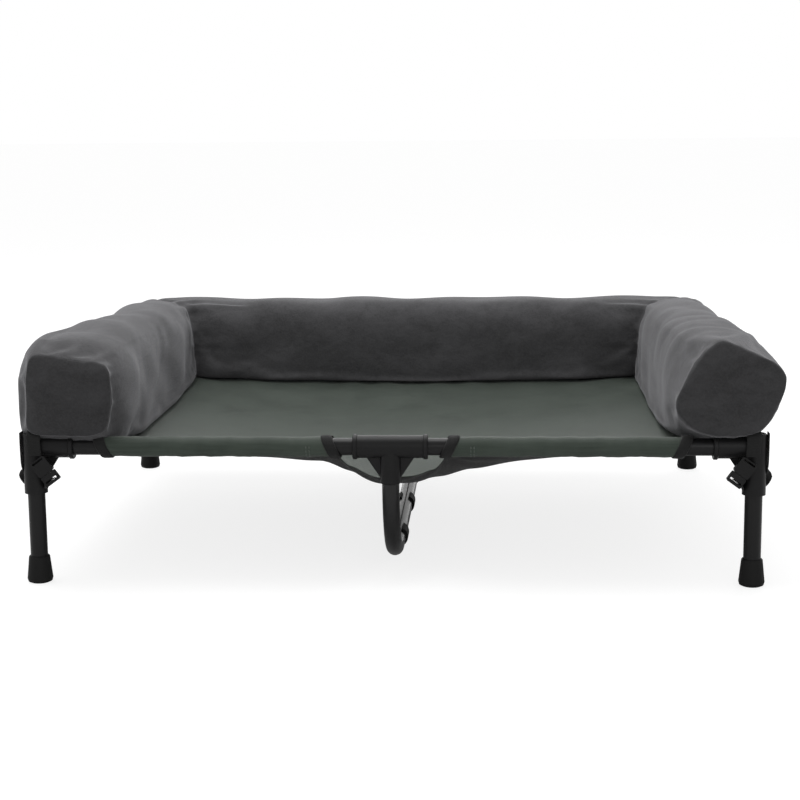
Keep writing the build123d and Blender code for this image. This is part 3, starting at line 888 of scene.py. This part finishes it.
def rest_height(x, y):
    """Height of what lies under the cushions: the rails and mouldings and, inside them, the sheet.

    The two are joined by the smooth step t^2 (3 - 2t) over the last centimetres to the rail."""
    inside = np.minimum(RAIL_X - np.abs(x), RAIL_Y - np.abs(y))
    sheet = SHEET_EDGE_Z - sag(x, y) + 0.003
    t = np.clip((0.042 - inside) / (0.042 - 0.015), 0, 1)
    return sheet + (ROLL_BOTTOM + 0.0004 - sheet) * t * t * (3 - 2 * t)


def u_path():
    """Stations down the middle of the U: plan places, the rows of its two corners, half width and front."""
    left = np.array(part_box("bolster_cover_left"))
    right = np.array(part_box("bolster_cover_right"))
    back = np.array(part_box("bolster_cover_back"))
    wide = (left[1][0] - left[0][0]) / 2
    front = left[0][1] + 0.002
    y_back = back[1][1] - (back[1][1] - back[0][1]) / 2
    x_left, x_right = left[0][0] + wide, right[1][0] - wide
    near = front + np.array([0, 0.0022, 0.006, 0.011, 0.018])
    side = np.concatenate([near, np.linspace(front + 0.026, y_back, 64)])
    across = np.linspace(x_left, x_right, 82)[1:]
    plan = np.concatenate([
        np.stack([np.full_like(side, x_left), side], -1),
        np.stack([across, np.full_like(across, y_back)], -1),
        np.stack([np.full_like(side, x_right), side[::-1]], -1)[1:],
    ])
    first = len(side) - 1
    second = first + len(across)
    return plan, first, second, wide, front


def cushion_grid():
    """Rings of the U-shaped bolster, mitred at the back corners and blended to an end panel at each front.

    A ring is radius(angle) about a centre on the path, sheared along the path near a mitre."""
    plan, first, second, wide, front = u_path()
    index = np.arange(len(plan))
    leg = np.where(index <= first, 0, np.where(index < second, 1, 2))
    run = np.concatenate([[0], np.cumsum(np.linalg.norm(np.diff(plan, axis=0), axis=1))])
    corner_a, corner_b, total = run[first], run[second], run[-1]
    outward = np.array([[-1, 0], [0, 1], [1, 0]], float)[leg]
    ahead = np.array([[0, 1], [1, 0], [0, -1]], float)[leg]
    near_a = np.clip(1 - np.abs(run - corner_a) / MITRE_REACH, 0, 1)
    near_b = np.clip(1 - np.abs(run - corner_b) / MITRE_REACH, 0, 1)
    shear = np.where(leg == 0, near_a, np.where(leg == 2, -near_b, near_b - near_a))
    left_centre, left_radius = panel_ring(LEFT_PANEL, True)
    right_centre, right_radius = panel_ring(RIGHT_PANEL, False)
    left_crest = np.interp(run / corner_a, *zip(*LEFT_CREST))
    right_crest = np.interp((run - corner_b) / (total - corner_b), *zip(*RIGHT_CREST))
    crest = np.where(leg == 0, left_crest, np.where(leg == 1, BACK_CREST, right_crest))
    ease = np.clip(np.abs(run - corner_a) / 0.10, 0, 1) * np.clip(np.abs(run - corner_b) / 0.10, 0, 1)
    crest = CORNER_CREST + (crest - CORNER_CREST) * ease ** 0.7
    gap = np.where(leg == 1, NOT_AT_AN_END, plan[:, 1] - front)
    fuller = np.where(leg == 0, LEFT_FULLER, RIGHT_FULLER) * np.exp(-((gap - 0.060) / 0.085) ** 2)
    past_rail = np.clip((gap - 0.050) / 0.210, 0, 1)
    droop = ROLL_DROOP * past_rail ** 2 * (3 - 2 * past_rail)
    pinch = np.exp(-np.abs(run - corner_a) / 0.013) + np.exp(-np.abs(run - corner_b) / 0.013)
    rings = []
    for k in range(len(plan)):
        middle_z, radius = roll_ring(wide + 0.0012 + fuller[k], crest[k], droop[k])
        centre = np.array([plan[k, 0], plan[k, 1], middle_z])
        radius = radius * (1 - 0.13 * min(pinch[k], 1.0))
        on_left = leg[k] == 0
        blend = math.exp(-(gap[k] / (LEFT_BLEND if on_left else RIGHT_BLEND)) ** 1.35)
        if leg[k] != 1 and blend > 1e-4:
            panel_centre = left_centre if on_left else right_centre
            panel_radius = left_radius if on_left else right_radius
            radius = radius + (panel_radius - radius) * blend
            centre[0] += (panel_centre[0] - centre[0]) * blend
            centre[2] += (panel_centre[1] - centre[2]) * blend
        side = radius * np.cos(TURN)
        up = radius * np.sin(TURN)
        ring = np.empty((ROUND, 3))
        ring[:, :2] = centre[:2] + outward[k] * side[:, None] + ahead[k] * (side * shear[k])[:, None]
        ring[:, 2] = centre[2] + up
        rings.append(ring)
    return np.array(rings), run, gap, (corner_a, corner_b, total)


def settle(points):
    """Lift every point that would lie below the rails or the sheet: rest + softplus(height over rest)."""
    soft = 0.003
    rest = rest_height(points[..., 0], points[..., 1])
    over = (points[..., 2] - rest) / soft
    lifted = rest + np.where(over > 30, over, np.log1p(np.exp(np.clip(over, -60, 30)))) * soft
    return np.concatenate([points[..., :2], lifted[..., None]], -1)


def soft_folds(points, run, gap, marks):
    """Lumps of filling, crescent folds, gathers at the mitres and small puckers along the end seams.

    Lumps are sines of the distance along the roll, folds and gathers are bell-shaped ridges, and their
    summed depth moves each point toward its ring's middle."""
    corner_a, corner_b, total = marks
    rng = np.random.default_rng(RNG_SEED)
    depth = np.zeros(points.shape[:2])
    for _ in range(LUMPS):
        wave, phase = rng.uniform(25, 60), rng.uniform(0, 6.3)
        order, spin = rng.integers(1, 4), rng.uniform(0, 6.3)
        depth += 0.0005 * np.sin(run[:, None] * wave + phase + 1.5 * np.sin(TURN[None, :] * order + spin))
    for _ in range(FOLDS):
        place = rng.uniform(0.05, total - 0.05)
        side = rng.uniform(0.1, math.pi + 0.3)
        reach = rng.uniform(0.5, 1.0)
        width = rng.uniform(0.013, 0.024)
        size = rng.uniform(0.0003, 0.0010)
        bow = rng.uniform(-0.035, 0.035)
        lean = rng.uniform(-0.03, 0.03)
        off = TURN[None, :] - side
        line = place + bow * np.cos(off * 1.3) + lean * off
        fade = np.exp(-(off / reach) ** 2)
        depth += size * fade * np.exp(-((run[:, None] - line) / width) ** 2)
        depth -= 0.6 * size * fade * np.exp(-((run[:, None] - line - width * 1.6) / width) ** 2)
    for distance, size in CRESCENTS:
        off = TURN[None, :] - 1.75
        line = total - distance - 0.040 * (1 - np.cos(off))
        fade = np.exp(-(off / 0.95) ** 2)
        depth += size * fade * np.exp(-((run[:, None] - line) / 0.013) ** 2)
    for corner in (corner_a, corner_b):
        for k in range(GATHERS):
            side = math.radians(-20 + 17 * k + 4 * math.sin(k * 2.3))
            length = 0.030 + 0.016 * math.sin(k * 1.7)
            off = (TURN[None, :] - side + math.pi) % (2 * math.pi) - math.pi
            gather = np.exp(-(off / 0.085) ** 2) * np.exp(-(np.abs(run[:, None] - corner) / length) ** 1.3)
            depth += 0.0045 * gather
    pucker = np.sin(TURN * 23 + 2 * np.sin(TURN * 5)) * (0.6 + 0.4 * np.sin(TURN * 3 + 1))
    depth += 0.0011 * pucker[None, :] * np.exp(-np.abs(gap[:, None] - 0.010) / 0.010)
    depth += 0.0014 * np.exp(-(gap[:, None] / 0.002) ** 2)
    centre = points.mean(axis=1, keepdims=True)
    return points - unit(points - centre) * depth[..., None]


def end_panel(ring):
    """Rings that close an end, from its seam to a middle point: scaled copies of the seam, set forward by
    the bulge times 1 - scale^3.2, with faint pulls near the seam."""
    middle_point = ring.mean(axis=0)
    scale = np.array([0.975, 0.94, 0.87, 0.77, 0.65, 0.51, 0.37, 0.22, 0.10])
    panel = middle_point + (ring - middle_point)[None] * scale[:, None, None]
    panel[:, :, 1] -= PANEL_BULGE * (1 - scale[:, None] ** 3.2) + PANEL_SETBACK
    pulls = 0.0009 * np.sin(TURN * 17 + 1.5 * np.sin(TURN * 4))
    panel[:, :, 1] += pulls[None] * (scale[:, None] ** 6)
    tip = middle_point.copy()
    tip[1] -= PANEL_BULGE + PANEL_SETBACK
    return panel, tip


def bolster():
    """The U-shaped bolster: rings and two end panels, swelled by a short cloth simulation."""
    points, run, gap, marks = cushion_grid()
    points = settle(soft_folds(points, run, gap, marks))
    rings = len(points)
    left_panel, left_tip = end_panel(points[0])
    right_panel, right_tip = end_panel(points[-1])
    layers = len(left_panel)
    stack = np.concatenate([left_panel[::-1], points, right_panel])
    vertices = np.vstack([stack.reshape(-1, 3), left_tip, right_tip])
    rows = len(stack)
    faces = grid_faces(rows, ROUND, wrap_columns=True)
    around = np.arange(ROUND)
    nxt = (around + 1) % ROUND
    last = (rows - 1) * ROUND
    tip_a, tip_b = rows * ROUND, rows * ROUND + 1
    cap_a = np.stack([np.full(ROUND, tip_a), around, nxt], -1)
    cap_b = np.stack([np.full(ROUND, tip_b), last + nxt, last + around], -1)
    edge_run = np.arange(1, layers + 1) * 0.006
    uv_run = np.concatenate([-edge_run[::-1], run, run[-1] + edge_run])
    uv_round = np.arange(ROUND) * 0.0055
    uv = np.stack(np.broadcast_arrays(uv_run[:, None], uv_round[None, :]), -1).reshape(-1, 2)
    uv = np.vstack([uv, [[-0.06, 0], [run[-1] + 0.06, 0]]])
    groups = [faces, cap_a, cap_b]
    piece = piece_from("bolster_cushions", vertices, groups, "bolster", uv)
    rim_a, rim_b = layers, layers + rings - 1
    corner_rows = [layers + int(np.argmin(np.abs(run - corner))) for corner in marks[:2]]
    swell(piece, vertices, rows, rim_a, rim_b, corner_rows)
    ring_row = np.repeat(np.arange(rows - 1), ROUND)
    face_row = np.concatenate([ring_row, np.full(ROUND, -1), np.full(ROUND, rows)])
    is_panel = (face_row < rim_a) | (face_row >= rim_b)
    # the end panels take the darker plush copy, which is painted shade
    dress(piece, PLUSH, PLUSH_END_PAINTED_SHADE)
    piece.data.polygons.foreach_set("material_index", is_panel.astype(np.int32))
    piece.data.update()
    smooth = piece.modifiers.new("smooth", "SUBSURF")
    smooth.levels = 2
    smooth.render_levels = 2
    sides = ("left", "back", "right")
    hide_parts(*(f"bolster_{kind}_{side}" for kind in ("cover", "fill") for side in sides))


def swell(piece, start, rows, rim_a, rim_b, corner_rows):
    """Cloth under pressure: seams and the resting underside are held, the rest moves by a limited step."""
    row = np.repeat(np.arange(rows), ROUND)
    grid = start[: rows * ROUND]
    resting = grid[:, 2] < rest_height(grid[:, 0], grid[:, 1]) + 0.007
    seam = (row == rim_a) | (row == rim_b) | np.isin(row, corner_rows)
    group = piece.vertex_groups.new(name="held")
    group.add(np.nonzero(resting | seam)[0].tolist(), 1.0, "REPLACE")
    cloth = piece.modifiers.new("swell", "CLOTH")
    for label, value in CLOTH_SETTINGS.items():
        setattr(cloth.settings, label, value)
    cloth.settings.effector_weights.gravity = 0.0
    cloth.collision_settings.use_collision = False
    scene = bpy.context.scene
    for moment in range(1, SWELL_FRAMES + 1):
        scene.frame_set(moment)
    graph = bpy.context.evaluated_depsgraph_get()
    result = piece.evaluated_get(graph).data
    moved = np.empty(len(result.vertices) * 3)
    result.vertices.foreach_get("co", moved)
    piece.modifiers.remove(cloth)
    piece.vertex_groups.remove(group)
    scene.frame_set(1)
    step = moved.reshape(-1, 3) - start
    size = np.linalg.norm(step, axis=1, keepdims=True)
    final = start + step * np.minimum(1, SWELL_LIMIT / np.maximum(size, 1e-9))
    final[:, 2] = np.maximum(final[:, 2], rest_height(final[:, 0], final[:, 1]))
    piece.data.vertices.foreach_set("co", final.ravel())


# ---------------------------------------------------------------- straps
# webbing as width and thickness
DROP_WEB = (0.0148, 0.0013)
WRAP_WEB = (0.0145, 0.0012)
# a point this far outward of the wrap strap's tail and this far in from the bed's end is worked out, but
# nothing uses it
BLEND_RUN = 0.010
# the wrap strap's points as (outward, toward the bed's nearer end, height) from its leg's axis, each with
# its width direction
WRAP = (
    ((0.0142, 0.000, 0.1700), (0, 1, 0)),
    ((0.0142, 0.000, 0.1480), (0, 1, 0)),
    ((0.0140, -0.001, 0.1280), (0, 0.9, 0.4)),
    ((0.0120, -0.0075, 0.1160), (0, 0.5, 0.9)),
    ((0.0070, -0.0127, 0.1115), (0, 0, 1)),
    ((0.0000, -0.0143, 0.1105), (0, 0, 1)),
    ((-0.0075, -0.0123, 0.1105), (0, 0, 1)),
    ((-0.0135, -0.0060, 0.1110), (0, 0, 1)),
    ((-0.0152, 0.0020, 0.1125), (-0.2, 0, 1)),
    ((-0.0170, 0.0100, 0.1150), (-0.5, 0, 0.9)),
    ((-0.0205, 0.0165, 0.1190), (-0.8, 0, 0.6)),
)


def straps():
    """Webbing at each corner: a drop from the cushion to the buckle, and a wrap round the leg's socket."""
    for corner, (sx, sy) in CORNERS.items():
        drop_low, drop_high = (np.array(end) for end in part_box(f"strap_drop_{corner}"))
        y = sy * max(abs(drop_low[1]), abs(drop_high[1])) - sy * 0.0006
        top_x = sx * max(abs(drop_low[0]), abs(drop_high[0])) - sx * 0.0078
        low_x = sx * min(abs(drop_low[0]), abs(drop_high[0])) + sx * 0.0066
        path = smooth_path([
            (top_x + sx * 0.001, y - sy * 0.012, drop_high[2] + 0.0035),
            (top_x, y - sy * 0.001, drop_high[2] + 0.0005),
            (top_x * 0.7 + low_x * 0.3, y, drop_high[2] - 0.008),
            (low_x, y, drop_low[2] - 0.001),
        ], 24)
        across = (1, 0, 0.25 * sx)
        web = band(f"strap_front_web_{corner}", path, across, *DROP_WEB, "bolster", "webbing")
        dress(web, WEBBING)
        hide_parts(f"strap_drop_{corner}")
        leg = middle(f"leg_{corner}")
        turn_out = np.array([sx, sy, 1.0])
        route = np.array([place for place, _ in WRAP]) * turn_out + (leg[0], leg[1], 0)
        width = np.array([direction for _, direction in WRAP]) * turn_out
        path = smooth_path(route, 70)
        width = smooth_path(width, 70)
        wrap = band(f"strap_wrap_web_{corner}", path, width, *WRAP_WEB, None, "webbing")
        dress(wrap, WEBBING)
        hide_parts(f"strap_wrap_{corner}")
        tail = route[-1]
        stays = tail + (sx * BLEND_RUN, -sy * BLEND_RUN, 0.0)
        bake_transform(wrap)


finish_frame_parts()
camera()
studio()
cloth, cloth_cut, cloth_area = sling()
trims = bindings_and_stitches()
bolster()
straps()
